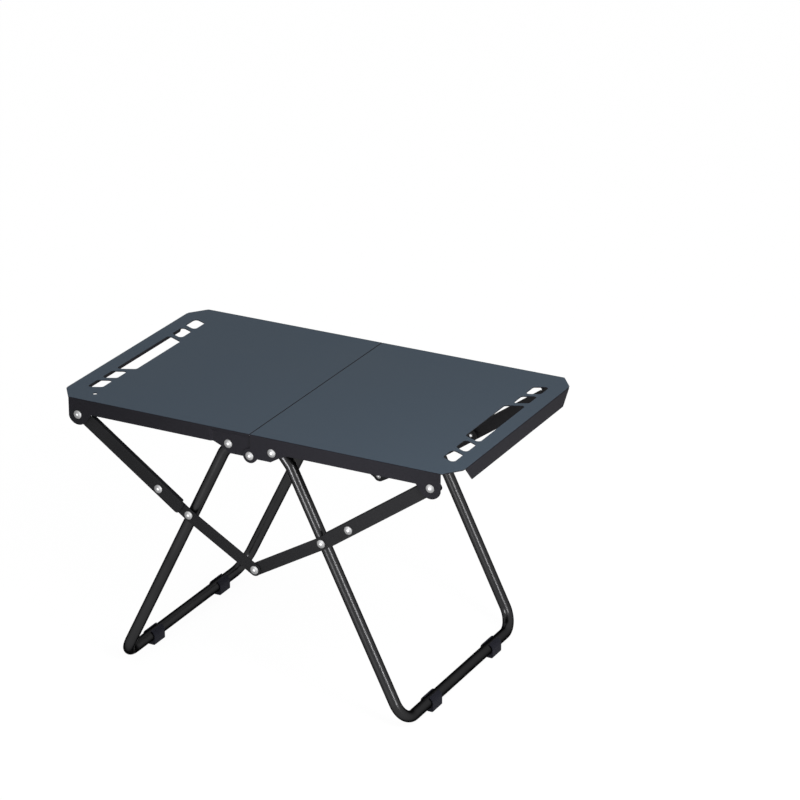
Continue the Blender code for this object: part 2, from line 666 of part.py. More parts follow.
def lower_group(word, side, place, end, looks):
    """One lower link bar with the rivets at the leg and at the middle, hung on the knee's axis."""
    empty = pivot(f"pivot_knee_{word}_{place}", KNEE_PIVOT, side)
    hang(lower_link(f"lower_link_{word}_{place}", side, end, looks["link"]), empty)
    layer = LOWER_LAYER[side]
    cross = side_point(CROSS_PIVOT, side)
    bm = bmesh.new()
    rivet(bm, cross, end, layer[0], TUBE_LAYER[0] + GAP)
    hang(finish(f"cross_rivet_{word}_{place}", bm, looks["rivet"]), empty)
    centre = side_point(CENTRE_PIVOT, side)
    bm = bmesh.new()
    if side < 0:
        low = TUBE_LAYER[0] + GAP
        ring_solid(bm, HOLE_RADIUS, SPACER_RADIUS, low * end, (layer[1] - GAP) * end, cross, RIVET_SIDES)
        hang(finish(f"cross_washer_{word}_{place}", bm, looks["plug"]), empty)
        bm = bmesh.new()
        rivet(bm, centre, end, layer[0], layer[1])
        hang(finish(f"centre_rivet_{place}", bm, looks["rivet"]), empty)
    else:
        tail_outer = layer[1] - GAP
        profile = [
            (0.0, layer[0]),
            (SHANK_RADIUS, layer[0]),
            (SHANK_RADIUS, tail_outer),
            (TAIL_RADIUS, tail_outer),
            (TAIL_RADIUS, tail_outer - TAIL_HEIGHT),
            (0.0, tail_outer - TAIL_HEIGHT),
        ]
        turned(bm, [(radius, y * end) for radius, y in profile], centre, RIVET_SIDES)
        hang(finish(f"centre_rivet_tail_{place}", bm, looks["rivet"]), empty)


def build():
    """Builds the whole table in its open position."""
    clear_scene()
    looks = materials()
    fold = pivot("pivot_centre_fold", HINGE)
    for place, end in ENDS.items():
        hinge_rivet(place, end, looks, fold)
    for word, side in SIDES.items():
        hang(top_panel(f"top_panel_{word}", side, looks["top"]), fold)
        leg = pivot(f"pivot_leg_{word}", LEG_PIVOT, side)
        hang(leg_frame(f"leg_frame_{word}", side, looks["tube"]), leg)
        for place, end in ENDS.items():
            panel_hardware(word, side, place, end, looks, fold)
            hang(tube_plug(f"tube_plug_{word}_{place}", side, end, looks["plug"]), leg)
            hang(foot(f"foot_{word}_{place}", side, FOOT_CENTRE_Y[place], looks["foot"]), leg)
            upper_group(word, side, place, end, looks)
            lower_group(word, side, place, end, looks)


build()
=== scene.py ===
# %% [markdown]
# # A folding camp table, dressed for its portrait
#
# The table's frame already exists as solids: two folded sheet panels, two bent tube legs, eight
# link bars and their rivets. They have the right sizes and places, but sharp edges and coarse
# facets. Here each visible piece is drawn again as a smooth surface in the same place, and gets a
# finish. Because everything shares one frame, in metres, nothing has to be fitted by eye.

# %% Load the frame
import math

import bmesh
import bpy
import numpy as np
from mathutils import Matrix, Vector
from mathutils.geometry import tessellate_polygon


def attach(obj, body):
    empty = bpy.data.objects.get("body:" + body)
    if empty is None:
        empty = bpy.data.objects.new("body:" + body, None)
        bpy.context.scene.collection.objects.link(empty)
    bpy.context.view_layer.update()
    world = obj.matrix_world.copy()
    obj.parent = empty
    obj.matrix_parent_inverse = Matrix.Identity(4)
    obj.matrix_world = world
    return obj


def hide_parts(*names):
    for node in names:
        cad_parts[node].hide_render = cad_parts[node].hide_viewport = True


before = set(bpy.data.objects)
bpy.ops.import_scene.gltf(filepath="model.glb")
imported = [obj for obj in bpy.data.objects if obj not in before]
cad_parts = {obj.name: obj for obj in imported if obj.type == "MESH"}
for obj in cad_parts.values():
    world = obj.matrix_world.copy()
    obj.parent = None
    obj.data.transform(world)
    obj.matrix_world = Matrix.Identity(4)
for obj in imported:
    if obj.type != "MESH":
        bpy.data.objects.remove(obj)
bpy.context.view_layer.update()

# %% [markdown]
# ## Where things are
#
# The numbers that more than one piece needs are set down once. Heights are given as drops below the
# top, because that is how the sheet is cut. The layers are given as distances from the middle of
# the table, because the bars lie side by side like cards in a deck.

# %% Sizes that the pieces share
TOP = 0.3915
HALF_LENGTH = 0.300
HALF_WIDTH = 0.186
SHEET = 0.0015
GAP = 0.0003
TUBE_Y = 0.1665
TUBE_R = 0.0080
TUBE_WALL = 0.0012
RIVET_HOLE = 0.0028
BAR_HEIGHT = 0.0120
SIDES = {"left": -1, "right": 1}
ENDS = {"front": -1, "rear": 1}
QUARTERS = [(f"{word}_{place}", side, end)
            for word, side in SIDES.items() for place, end in ENDS.items()]

TUBE_FACE = TUBE_Y + TUBE_R
FLANGE_IN = HALF_WIDTH - SHEET
LOWER_IN = {1: TUBE_FACE + GAP, -1: TUBE_FACE + 2 * GAP + SHEET}
KNEE_SPACER = 0.0018
UPPER_IN = LOWER_IN[-1] + SHEET + KNEE_SPACER + 2 * GAP


def at(x, drop):
    """A side-view point (x, z) from its distance to the middle and its drop below the top."""
    return np.array([x, TOP - drop])


def unit(way):
    """The same direction, one long. An array may hold a direction in each row."""
    return way / np.linalg.norm(way, axis=-1, keepdims=True)


HINGE_DROP, EAR_DROP = 0.0303, 0.0228
HINGE = at(0.0, HINGE_DROP)
LEG = at(0.0330, 0.0200)
EAR = at(0.2644, EAR_DROP)
CROSS = at(0.1000, 0.1392)
CENTRE = at(0.0, 0.1979)
BAR = np.array([0.2170, BAR_HEIGHT])
TUBE_INSIDE_RIVET = 0.0015
TUBE_CROSSING = CROSS - (TUBE_INSIDE_RIVET, 0.0)
TO_CROSS = unit(CROSS - EAR)
KNEE_REACH = 0.1480
KNEE = EAR + KNEE_REACH * TO_CROSS
print("knee at", KNEE.round(4), "upper bars from y", round(UPPER_IN, 4))

# %% [markdown]
# ## From arrays to a mesh
#
# Every shape below is worked out as a numpy array of points. One helper turns points and faces into
# an object: it merges the doubles where a surface closes on itself, turns all faces outward, and
# shades the result smooth. Weighted normals keep the large flat faces truly flat beside their small
# rounded edges.

# %% Helpers that build an object
DOUBLES = 2e-6


def joined(surfaces):
    """Several (points, faces) surfaces as one: face numbers move up by the points before them."""
    points, faces, start = [], [], 0
    for part, part_faces in surfaces:
        points.append(np.asarray(part, float).reshape(-1, 3))
        faces += [tuple(np.asarray(face) + start) for face in part_faces]
        start += len(points[-1])
    return np.concatenate(points), faces


def grid(points, close_rows=False, close_columns=False):
    """A surface from a grid of points: each face joins two neighbours to the two below them."""
    rows, columns = points.shape[:2]
    i = np.arange(rows if close_rows else rows - 1)[:, None]
    j = np.arange(columns if close_columns else columns - 1)[None, :]
    down, right = (i + 1) % rows, (j + 1) % columns
    near, far = i * columns, down * columns
    quads = np.stack([near + j, near + right, far + right, far + j], -1)
    return points.reshape(-1, 3), quads.reshape(-1, 4)


def reworked(mesh, edit=None):
    """The mesh after an edit through bmesh, with its faces turned outward."""
    bm = bmesh.new()
    bm.from_mesh(mesh)
    if edit:
        edit(bm)
    bmesh.ops.recalc_face_normals(bm, faces=bm.faces)
    bm.to_mesh(mesh)
    bm.free()
    mesh.update()
    return mesh


def mesh_of(name, points, faces):
    """A mesh with its doubles merged."""
    mesh = bpy.data.meshes.new(name)
    mesh.from_pydata(np.asarray(points).tolist(), [], [[int(i) for i in face] for face in faces])
    return reworked(mesh, lambda bm: bmesh.ops.remove_doubles(bm, verts=bm.verts, dist=DOUBLES))


def object_of(name, data):
    """An object in the scene for a mesh, a lamp or a camera."""
    made = bpy.data.objects.new(name, data)
    bpy.context.collection.objects.link(made)
    return made


def piece(name, mesh, body, nodes, slot, material, sharp=40):
    """Places a finished mesh on its CAD body, in the place of the CAD nodes that it redraws."""
    mesh.shade_smooth()
    mesh.set_sharp_from_angle(angle=math.radians(sharp))
    mesh.materials.append(material)
    made = object_of(name, mesh)
    weigh = made.modifiers.new("flat faces first", "WEIGHTED_NORMAL")
    weigh.keep_sharp = True
    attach(made, body)
    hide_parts(*nodes)


print("a grid of 3 by 4 points has", len(grid(np.zeros((3, 4, 3)))[1]), "faces")

# %% [markdown]
# ## Finishes
#
# The table has seven finishes: a slate powder coat on the top, with painted light on its upper
# face, and black, partly painted shade, on its turned-down edges; gloss paint on the tubes, matte
# paint on the bars, bright steel rivets, rubber feet, and plain plastic for plugs and thin washers.
# Powder coat and paint are never perfectly even. Under a lens they show a fine orange peel, and
# from afar a faint cloudiness. Both come from noise on the object's own coordinates, so that the
# pattern stays on the metal when the table folds.

# %% A group for grain and cloudiness
SPECK_EDGE = (0.16, 0.06)


def preset(node, **values):
    """Sets a node's inputs by name. An underscore stands for a space."""
    for name, value in values.items():
        node.inputs[name.replace("_", " ")].default_value = value
    return node


def ranged(nodes, links, value, low, high, start=0.3, end=0.7):
    """Another node's output, moved from the range start to end into the range low to high."""
    ramp = nodes.new("ShaderNodeMapRange")
    preset(ramp, From_Min=start, From_Max=end, To_Min=low, To_Max=high)
    links.new(value, ramp.inputs["Value"])
    return ramp.outputs["Result"]


def surface_group():
    """Peel is a fine height, Cloud a slow drift from 0 to 1, and Specks a few lighter points."""
    group = bpy.data.node_groups.new("paint_surface", "ShaderNodeTree")
    face = group.interface
    for name, default in (("Peel Scale", 900.0), ("Cloud Scale", 9.0), ("Speck Scale", 500.0)):
        socket = face.new_socket(name, in_out="INPUT", socket_type="NodeSocketFloat")
        socket.default_value = default
    for name in ("Peel", "Cloud", "Specks"):
        face.new_socket(name, in_out="OUTPUT", socket_type="NodeSocketFloat")
    nodes, links = group.nodes, group.links
    start, end = nodes.new("NodeGroupInput"), nodes.new("NodeGroupOutput")
    where = nodes.new("ShaderNodeTexCoord")
    for name, detail, rough in (("Peel", 3.0, 0.6), ("Cloud", 4.0, 0.55)):
        noise = preset(nodes.new("ShaderNodeTexNoise"), Detail=detail, Roughness=rough)
        links.new(where.outputs["Object"], noise.inputs["Vector"])
        links.new(start.outputs[f"{name} Scale"], noise.inputs["Scale"])
        links.new(noise.outputs["Fac"], end.inputs[name])
    cells = nodes.new("ShaderNodeTexVoronoi")
    links.new(where.outputs["Object"], cells.inputs["Vector"])
    links.new(start.outputs["Speck Scale"], cells.inputs["Scale"])
    speck = ranged(nodes, links, cells.outputs["Distance"], 0.0, 1.0, *SPECK_EDGE)
    links.new(speck, end.inputs["Specks"])
    return group


PAINT_SURFACE = surface_group()
print("group:", [item.name for item in PAINT_SURFACE.interface.items_tree])

# %% [markdown]
# A painted finish is then the same recipe with its own colours. Cloud moves the colour between two
# shades and the roughness between two values, Peel feeds a Bump node, and Specks adds the grains of
# a textured coat.

# %% The recipe for a painted finish
SPECK_LIFT = (2.2, 0.02)


def feed(links, socket, value):
    """Gives a socket another node's output, a colour or a number."""
    if isinstance(value, bpy.types.NodeSocket):
        links.new(value, socket)
    else:
        socket.default_value = (*value, 1.0) if isinstance(value, tuple) else value


def mix_colour(nodes, links, factor, first, second, blend="MIX"):
    """A colour between two others, by a factor. Each may be another node's output."""
    mix = nodes.new("ShaderNodeMix")
    mix.data_type, mix.blend_type = "RGBA", blend
    for socket, value in (("Factor", factor), ("A", first), ("B", second)):
        feed(links, mix.inputs[socket], value)
    return mix.outputs["Result"]


def painted(name, dark, light, rough, peel, scales, specular=0.5, specks=0.0):
    """A painted or moulded finish: two close shades, a range of roughness, and a fine orange peel.
    A speck is as many times lighter than the paint as SPECK_LIFT says, plus a little."""
    made = bpy.data.materials.new(name)
    made.use_nodes = True
    nodes, links = made.node_tree.nodes, made.node_tree.links
    shader = preset(nodes["Principled BSDF"], Specular_IOR_Level=specular)
    surface = nodes.new("ShaderNodeGroup")
    surface.node_tree = PAINT_SURFACE
    for socket, value in zip(("Peel Scale", "Cloud Scale", "Speck Scale"), scales):
        surface.inputs[socket].default_value = value
    cloud = ranged(nodes, links, surface.outputs["Cloud"], 0.0, 1.0)
    colour = mix_colour(nodes, links, cloud, dark, light)
    if specks:
        amount = ranged(nodes, links, surface.outputs["Specks"], 0.0, specks, 0.0, 1.0)
        grain = tuple(min(1.0, c * SPECK_LIFT[0] + SPECK_LIFT[1]) for c in light)
        colour = mix_colour(nodes, links, amount, colour, grain)
    links.new(colour, shader.inputs["Base Color"])
    links.new(ranged(nodes, links, surface.outputs["Cloud"], *rough), shader.inputs["Roughness"])
    bump = preset(nodes.new("ShaderNodeBump"), Strength=peel[0], Distance=peel[1])
    links.new(surface.outputs["Peel"], bump.inputs["Height"])
    links.new(bump.outputs["Normal"], shader.inputs["Normal"])
    return made


PLUG_PLASTIC = painted("plug_plastic", (0.010, 0.010, 0.011), (0.014, 0.014, 0.015),
                       rough=(0.45, 0.55), peel=(0.15, 0.0001), scales=(600.0, 30.0, 500.0),
                       specular=0.15)
print("first finish:", PLUG_PLASTIC.name, "of", len(PLUG_PLASTIC.node_tree.nodes), "nodes")

# %% [markdown]
# The tubes' gloss could be a dark plastic with a strong shine, but its rims would light up. A dark
# metal with a low edge tint gives the same dim reflections and keeps the rims dark, as they are in
# the photograph. The bars and the feet hardly shine, so they get a low specular level and a rough
# surface.

# %% The other paints and the rubber
TUBE_EDGE_TINT = (0.22, 0.22, 0.22, 1.0)


def gloss_tube():
    """A dark mirror: it shows the room faintly, and its low edge tint keeps its rims dark."""
    made = painted("gloss_black_tube", (0.030, 0.030, 0.031), (0.036, 0.036, 0.037),
                   rough=(0.28, 0.32), peel=(0.02, 0.00005), scales=(420.0, 14.0, 500.0))
    preset(made.node_tree.nodes["Principled BSDF"], Metallic=1.0, Specular_Tint=TUBE_EDGE_TINT)
    return made


TUBE_PAINT = gloss_tube()
BAR_PAINT = painted("matte_black_bar", (0.0100, 0.0100, 0.0115), (0.0140, 0.0140, 0.0155),
                    rough=(0.50, 0.60), peel=(0.22, 0.00012), scales=(1100.0, 18.0, 600.0),
                    specular=0.08, specks=0.05)
RUBBER = painted("foot_rubber", (0.0085, 0.0088, 0.0145), (0.0125, 0.013, 0.020),
                 rough=(0.66, 0.78), peel=(0.35, 0.00018), scales=(700.0, 40.0, 500.0),
                 specular=0.10)
print("paints:", TUBE_PAINT.name, BAR_PAINT.name, RUBBER.name)

# %% [markdown]
# The top is slate on its upper face and black below the bend, partly the coat's own tones and
# partly painted light: the upper face is painted as lit, and the bend, flanges, slot walls and
# underside as in shade. One material does both: the object's own height says which face a point is
# on, and the change falls inside the bend, as it does where a coat catches the light. The seam
# between the panels is painted dark too, as the shadow in its gap, so there the distance to the
# middle turns the coat black.

# %% The top's coat, with painted light and shade
# Slate and black are partly the coat's own tones and partly painted light: the upper face is
# painted as lit, the faces below it as in shade.
SLATE = ((0.054, 0.077, 0.104), (0.062, 0.086, 0.115))
SHADED_EDGE_BLACK = ((0.0130, 0.0125, 0.0165), (0.0175, 0.0168, 0.0215))
LIT_FACE_HEIGHTS = (TOP - 0.00025, TOP - 0.00005)
# Distances from the middle over which the painted seam shadow fades out.
SEAM_SHADOW_WIDTHS = (0.0007, 0.0010)


def combined(nodes, links, operation, first, second=0.0):
    """A Math node's result, from outputs of other nodes or numbers."""
    node = nodes.new("ShaderNodeMath")
    node.operation = operation
    feed(links, node.inputs[0], first)
    feed(links, node.inputs[1], second)
    return node.outputs[0]


def top_coat():
    """The slate coat, which turns black inside the bend and close to the seam: painted shade below
    the lit upper face, and a painted shadow in the seam.
    """
    made = painted("slate_top_coat", *SLATE, rough=(0.50, 0.60), peel=(0.20, 0.00010),
                   scales=(1000.0, 5.0, 700.0), specular=0.05, specks=0.06)
    nodes, links = made.node_tree.nodes, made.node_tree.links
    shader = nodes["Principled BSDF"]
    slate = shader.inputs["Base Color"].links[0].from_socket
    group = next(node for node in nodes if node.type == "GROUP")
    cloud = ranged(nodes, links, group.outputs["Cloud"], 0.0, 1.0)
    black = mix_colour(nodes, links, cloud, *SHADED_EDGE_BLACK)
    where = nodes.new("ShaderNodeTexCoord")
    split = nodes.new("ShaderNodeSeparateXYZ")
    links.new(where.outputs["Object"], split.inputs["Vector"])
    # Above these heights the face is painted as lit slate, below them as shaded black.
    upper = ranged(nodes, links, split.outputs["Z"], 0.0, 1.0, *LIT_FACE_HEIGHTS)
    # Within these distances of the middle the coat is painted black, a painted shadow in the gap
    # between the panels.
    apart = combined(nodes, links, "ABSOLUTE", split.outputs["X"])
    outside_seam_shadow = ranged(nodes, links, apart, 0.0, 1.0, *SEAM_SHADOW_WIDTHS)
    both = combined(nodes, links, "MULTIPLY", upper, outside_seam_shadow)
    links.new(mix_colour(nodes, links, both, black, slate), shader.inputs["Base Color"])
    return made


TOP_COAT = top_coat()
print("top:", TOP_COAT.name)

# %% [markdown]
# The rivets are the only bare metal. Bright steel is nearly all reflection. Each head's colour
# follows the distance from the rivet's axis: a painted highlight in its middle, the steel's own
# grey around it, and a painted shade at its rim. Each rivet carries that distance, as a share of
# the head's radius, in an attribute of its own.

# %% Bright steel
# Each pair is a share of the head's radius and the shade there: a painted highlight in the middle,
# the steel's grey, and a painted shade at the rim.
HEAD_HIGHLIGHT_AND_SHADE = ((0.0, 0.95), (0.14, 0.85), (0.30, 0.27), (0.62, 0.23), (0.88, 0.27), (1.0, 0.15))


def bright_steel():
    """Metal with a painted highlight in the middle of each head, grey around it, and a painted
    shade at its rim.
    """
    made = painted("bright_rivet_steel", (0.86, 0.86, 0.88), (1.0, 1.0, 1.0),
                   rough=(0.50, 0.58), peel=(0.10, 0.00005), scales=(1500.0, 260.0, 500.0))
    nodes, links = made.node_tree.nodes, made.node_tree.links
    shader = preset(nodes["Principled BSDF"], Metallic=1.0)
    cloud = shader.inputs["Base Color"].links[0].from_socket
    share = nodes.new("ShaderNodeAttribute")
    share.attribute_name = "radius_share"
    ramp = nodes.new("ShaderNodeValToRGB")
    stops = ramp.color_ramp.elements
    stops[0].position, stops[1].position = HEAD_HIGHLIGHT_AND_SHADE[0][0], HEAD_HIGHLIGHT_AND_SHADE[-1][0]
    for place, _ in HEAD_HIGHLIGHT_AND_SHADE[1:-1]:
        stops.new(place)
    for stop, (place, shade) in zip(stops, HEAD_HIGHLIGHT_AND_SHADE):
        stop.color = (shade, shade, shade, 1.0)
    links.new(share.outputs["Fac"], ramp.inputs["Fac"])
    shaded = mix_colour(nodes, links, 1.0, cloud, ramp.outputs["Color"], "MULTIPLY")
    links.new(shaded, shader.inputs["Base Color"])
    return made


STEEL = bright_steel()
print("metal:", STEEL.name)

# %% [markdown]
# ## Drawing sheet metal flat, then folding it
#
# A press brake folds a flat blank, and so does this lesson. The blank is an outline with holes. Its
# edge is a small half-round profile carried along each outline, and the flat faces fill what lies
# between. Then the blank is cut into narrow strips where it will bend, and one formula moves every
# point round the bend.

# %% Outlines
def arc(centre, radius, start, end, step=6.0):
    """Points centre + radius * (cos a, sin a), for angles a from start to end in degrees."""
    count = max(2, math.ceil(abs(end - start) / step) + 1)
    a = np.radians(np.linspace(start, end, count))
    return np.asarray(centre) + radius * np.stack([np.cos(a), np.sin(a)], -1)


def round_hole(centre, radius):
    """A circle of points."""
    return arc(centre, radius, 0, 345, 15)


def rounded(corners, radius, step=10.0):
    """A closed outline whose corners are arcs that touch both edges. With h as half the corner's
    angle, the arc's centre is corner + bisector * r / sin h."""
    corners = np.asarray(corners, float)
    made = []
    for before, corner, after in zip(np.roll(corners, 1, 0), corners, np.roll(corners, -1, 0)):
        back, ahead = unit(before - corner), unit(after - corner)
        half = math.acos(float(np.clip(back @ ahead, -1, 1))) / 2
        middle = corner + unit(back + ahead) * radius / math.sin(half)
        first = corner + back * radius / math.tan(half) - middle
        last = corner + ahead * radius / math.tan(half) - middle
        start = math.degrees(math.atan2(first[1], first[0]))
        sweep = math.degrees(math.atan2(first[0] * last[1] - first[1] * last[0], first @ last))
        made.append(arc(middle, radius, start, start + sweep, step))
    return np.concatenate(made)


def turned_left(loop, hole=False):
    """The loop with its material on the left: anticlockwise outside, clockwise round a hole."""
    x, y = np.asarray(loop).T
    area = np.sum(x * np.roll(y, -1) - np.roll(x, -1) * y)
    return loop[::-1] if (area > 0) == hole else loop


SHARPEST = 0.3


def inward(loop):
    """At each corner, the step that moves both its edges one unit into the material."""
    edge = unit(np.roll(loop, -1, 0) - loop)
    normal = np.stack([-edge[:, 1], edge[:, 0]], -1)
    both = np.roll(normal, 1, 0) + normal
    return both / np.maximum(np.sum(normal * both, axis=1), SHARPEST)[:, None]


print("a rivet hole has", len(round_hole((0.0, 0.0), RIVET_HOLE)), "points")

# %% A blank with rounded edges
PANEL_EDGE, BAR_EDGE, FOOT_EDGE = 0.00035, 0.0003, 0.0005


def blank(outline, holes, thickness, edge, steps=3):
    """A flat plate from w = 0 down to -thickness. Its rim is a profile carried along each loop:
    inset = edge * (1 - sin a) and depth = edge * (1 - cos a) at the upper arris, and the mirror
    image below."""
    a = np.linspace(0, math.pi / 2, steps + 1)
    inset = edge * (1 - np.sin(a))
    depth = edge * (1 - np.cos(a))
    inset = np.concatenate([inset, inset[::-1]])
    depth = np.concatenate([depth, thickness - depth[::-1]])
    surfaces, upper, lower = [], [], []
    for loop, is_hole in [(outline, False)] + [(hole, True) for hole in holes]:
        loop = turned_left(np.asarray(loop, float), is_hole)
        rows = loop[None] + inset[:, None, None] * inward(loop)[None]
        w = np.broadcast_to(-depth[:, None, None], rows.shape[:2] + (1,))
        surfaces.append(grid(np.concatenate([rows, w], -1), close_columns=True))
        upper.append(rows[0])
        lower.append(rows[-1])
    for loops, w in ((upper, 0.0), (lower, -thickness)):
        flat = np.concatenate(loops)
        fill = tessellate_polygon([[Vector((x, y, 0.0)) for x, y in loop] for loop in loops])
        surfaces.append((np.column_stack([flat, np.full(len(flat), w)]), fill))
    return joined(surfaces)


def sliced(name, points, faces, cuts):
    """The blank's mesh, cut along lines u = value or v = value, given as (axis, value) pairs."""
    def cut(bm):
        for axis, value in cuts:
            where, across = Vector((0, 0, 0)), Vector((0, 0, 0))
            where[axis], across[axis] = value, 1.0
            geometry = bm.verts[:] + bm.edges[:] + bm.faces[:]
            bmesh.ops.bisect_plane(bm, geom=geometry, dist=1e-7, plane_co=where, plane_no=across)

    return reworked(mesh_of(name, points, faces), cut)


def coordinates(mesh):
    """The mesh's points as an array."""
    flat = np.empty(len(mesh.vertices) * 3)
    mesh.vertices.foreach_get("co", flat)
    return flat.reshape(-1, 3)


def moved(mesh, points):
    """The mesh with new places, and its faces turned outward again, as a mirror image may need."""
    mesh.vertices.foreach_set("co", np.ascontiguousarray(points, np.float32).ravel())
    return reworked(mesh)


DISC = blank(round_hole((0.0, 0.0), TUBE_R), [], SHEET, BAR_EDGE)
print("a disc of sheet has", len(DISC[1]), "faces")

# %% The bend
BEND = 0.0017
BEND_LENGTH = BEND * math.pi / 2


def bent(s, t):
    """How far out and how far down a point ends up that lay s past the start of the bend and t
    below the skin. In the bend the angle is s / R, so out = (R - t) sin and down = R - (R - t) cos.
    Past it the sheet hangs."""
    angle = np.clip(s / BEND, 0, math.pi / 2)
    out = np.where(s < 0, s, (BEND - t) * np.sin(angle))
    down = np.where(s < 0, t, BEND - (BEND - t) * np.cos(angle) + np.maximum(s - BEND_LENGTH, 0))
    return out, down


def past_bend(drop):
    """Where on the blank a feature is drawn that has to hang this far below the skin."""
    return drop - BEND + BEND_LENGTH


BEND_CUTS = np.linspace(0, BEND_LENGTH, 7)
print("bend of", BEND, "takes", round(BEND_LENGTH, 5), "of sheet")

# %% [markdown]
# ## The two top panels
#
# Each half of the top is one sheet: a flat plate with a long grip slot and four slanted slots, a
# flange on each long side that widens into ears for the pivots, and a tapered flange at the short
# end. The corners are cut off and stay open. At the middle, the right panel's ear lies outside the
# left one's, so the left flange steps inward there by one sheet and a little air.

# %% Sizes of the panels
SEAM = 0.0003
CORNER = np.array([0.0212, 0.0283])
SIDE_DROP = 0.0205
END_DROP = 0.0215
END_TAPER = 0.0205
EAR_R = 0.0150
LOBE_R = 0.0104
STEP_FROM, STEP_TO = 0.0600, 0.0560
STEP_IN = SHEET + GAP
STEP_HEIGHT = 0.0045
MIDDLE_EAR = np.array([(0.0310, 0.0335), (0.0450, 0.0250), (0.0560, SIDE_DROP)])
EAR_START = 0.0210
SLOT_OUT, SLOT_WIDTH, SLOT_LENGTH = 0.2765, 0.0200, 0.0280
SLOT_BAR, SLOT_SLANT, SLOT_ROUND = 0.0090, 0.0095, 0.0045
GRIP_HALF, GRIP_EXTRA = 0.0610, 0.0060
CORNER_HOLE, CORNER_HOLE_R = np.array([-0.2533, -0.1594]), 0.0031


def slots():
    """The five slots of a right-hand panel, as rounded outlines seen from above."""
    inner = SLOT_OUT - SLOT_WIDTH
    slope = SLOT_SLANT / SLOT_WIDTH
    long, short = GRIP_HALF + SLOT_SLANT, GRIP_HALF - GRIP_EXTRA * slope
    grip_in = inner - GRIP_EXTRA
    made = [np.array([(SLOT_OUT, -long), (SLOT_OUT, long), (grip_in, short), (grip_in, -short)])]
    for i in range(2):
        near = GRIP_HALF + SLOT_BAR + i * (SLOT_LENGTH + SLOT_BAR)
        far = near + SLOT_LENGTH
        slot = np.array([(inner, near), (SLOT_OUT, near + SLOT_SLANT),
                         (SLOT_OUT, far + SLOT_SLANT), (inner, far)])
        made += [slot, slot * (1, -1)]
    return [rounded(slot, SLOT_ROUND) for slot in made]


print("slots:", len(slots()), "a panel, the grip", round(2 * (GRIP_HALF + SLOT_SLANT), 3), "m long")

# %% The side view of a flange
def flange_edge():
    """The lower edge of a right-hand side flange from the seam to its outer end, as (x, drop)
    pairs: a lobe round the hinge, the middle ear, the straight flange, and an ear whose arc meets
    it on a tangent."""
    rise = math.degrees(math.asin((MIDDLE_EAR[0, 1] - HINGE_DROP) / LOBE_R))
    top = 270 + math.degrees(math.asin(SEAM / LOBE_R))
    lobe = arc((0.0, -HINGE_DROP), LOBE_R, -top, -rise)
    middle = MIDDLE_EAR * (1, -1)
    centre = np.array([EAR[0], EAR[1] - TOP])
    meet = centre + (-EAR_START, EAR_DROP - SIDE_DROP)
    away = meet - centre
    tangent = math.degrees(math.atan2(away[1], away[0])) - 360
    tangent += math.degrees(math.acos(EAR_R / np.linalg.norm(away)))
    end = -math.degrees(math.acos((HALF_LENGTH - CORNER[0] - EAR[0]) / EAR_R))
    edge = np.concatenate([lobe, middle, [meet], arc(centre, EAR_R, tangent, end)])
    return edge * (1, -1)


print("side flange: deepest point", round(float(flange_edge()[:, 1].max()), 4), "below the top")

# %% The panel's blank, and the press brake
def panel_blank():
    """The outline of a right-hand panel before folding. Drops become distances past the bend."""
    side = flange_edge()
    fold_y, fold_x = HALF_WIDTH - BEND, HALF_LENGTH - BEND
    hanging = np.column_stack([side[:, 0], -(fold_y + past_bend(side[:, 1]))])
    cut_x, cut_y = HALF_LENGTH - CORNER[0], HALF_WIDTH - CORNER[1]
    slope = CORNER[1] / CORNER[0]
    corner = [(cut_x, -fold_y), (cut_x + BEND / slope, -fold_y),
              (fold_x, -(cut_y + BEND * slope)), (fold_x, -cut_y)]
    end = [(fold_x + past_bend(END_DROP), END_TAPER - cut_y)]
    front = np.concatenate([hanging, corner, end])
    return np.concatenate([front, front[::-1] * (1, -1)])


def flange_holes():
    """The rivet holes of both side flanges, on the blank."""
    made = []
    for pivot in (EAR, LEG, HINGE):
        y = HALF_WIDTH - BEND + past_bend(TOP - pivot[1])
        made += [round_hole((pivot[0], y), RIVET_HOLE), round_hole((pivot[0], -y), RIVET_HOLE)]
    return made


def smooth(x):
    """A soft step from 0 to 1: 3x^2 - 2x^3."""
    x = np.clip(x, 0, 1)
    return x * x * (3 - 2 * x)


def folded_panel(points, side):
    """Folds the blank's front, rear and end flanges. On the left panel, the middle ears step
    inward: the step is full once the sheet hangs STEP_HEIGHT below its thickness and lies within
    STEP_TO of the seam."""
    x, y, t = points[:, 0], points[:, 1], -points[:, 2]
    out, down = bent(np.abs(y) - (HALF_WIDTH - BEND), t)
    new_y = np.sign(y) * (HALF_WIDTH - BEND + out)
    end_out, end_down = bent(x - (HALF_LENGTH - BEND), t)
    at_end = x > HALF_LENGTH - BEND
    new_x = np.where(at_end, HALF_LENGTH - BEND + end_out, x)
    drop = np.where(at_end, end_down, down)
    if side < 0:
        near = smooth((STEP_FROM - x) / (STEP_FROM - STEP_TO))
        near = near * smooth((drop - SHEET) / STEP_HEIGHT)
        new_y = new_y - np.sign(y) * STEP_IN * np.where(np.abs(y) > HALF_WIDTH - BEND, near, 0)
    return np.column_stack([new_x * side, new_y, TOP - drop])


STEP_CUTS = (BEND + 0.0006, 0.0062, 6)


def panel_cuts(side):
    """Cuts across each bend, and for the left panel where the ears step inward."""
    cuts = [(1, sign * (HALF_WIDTH - BEND + s)) for sign in (-1, 1) for s in BEND_CUTS]
    cuts += [(0, HALF_LENGTH - BEND + s) for s in BEND_CUTS]
    if side < 0:
        cuts += [(0, x) for x in np.linspace(STEP_TO, STEP_FROM, 9)]
        drops = HALF_WIDTH - BEND + past_bend(np.linspace(*STEP_CUTS))
        cuts += [(1, sign * y) for sign in (-1, 1) for y in drops]
    return cuts


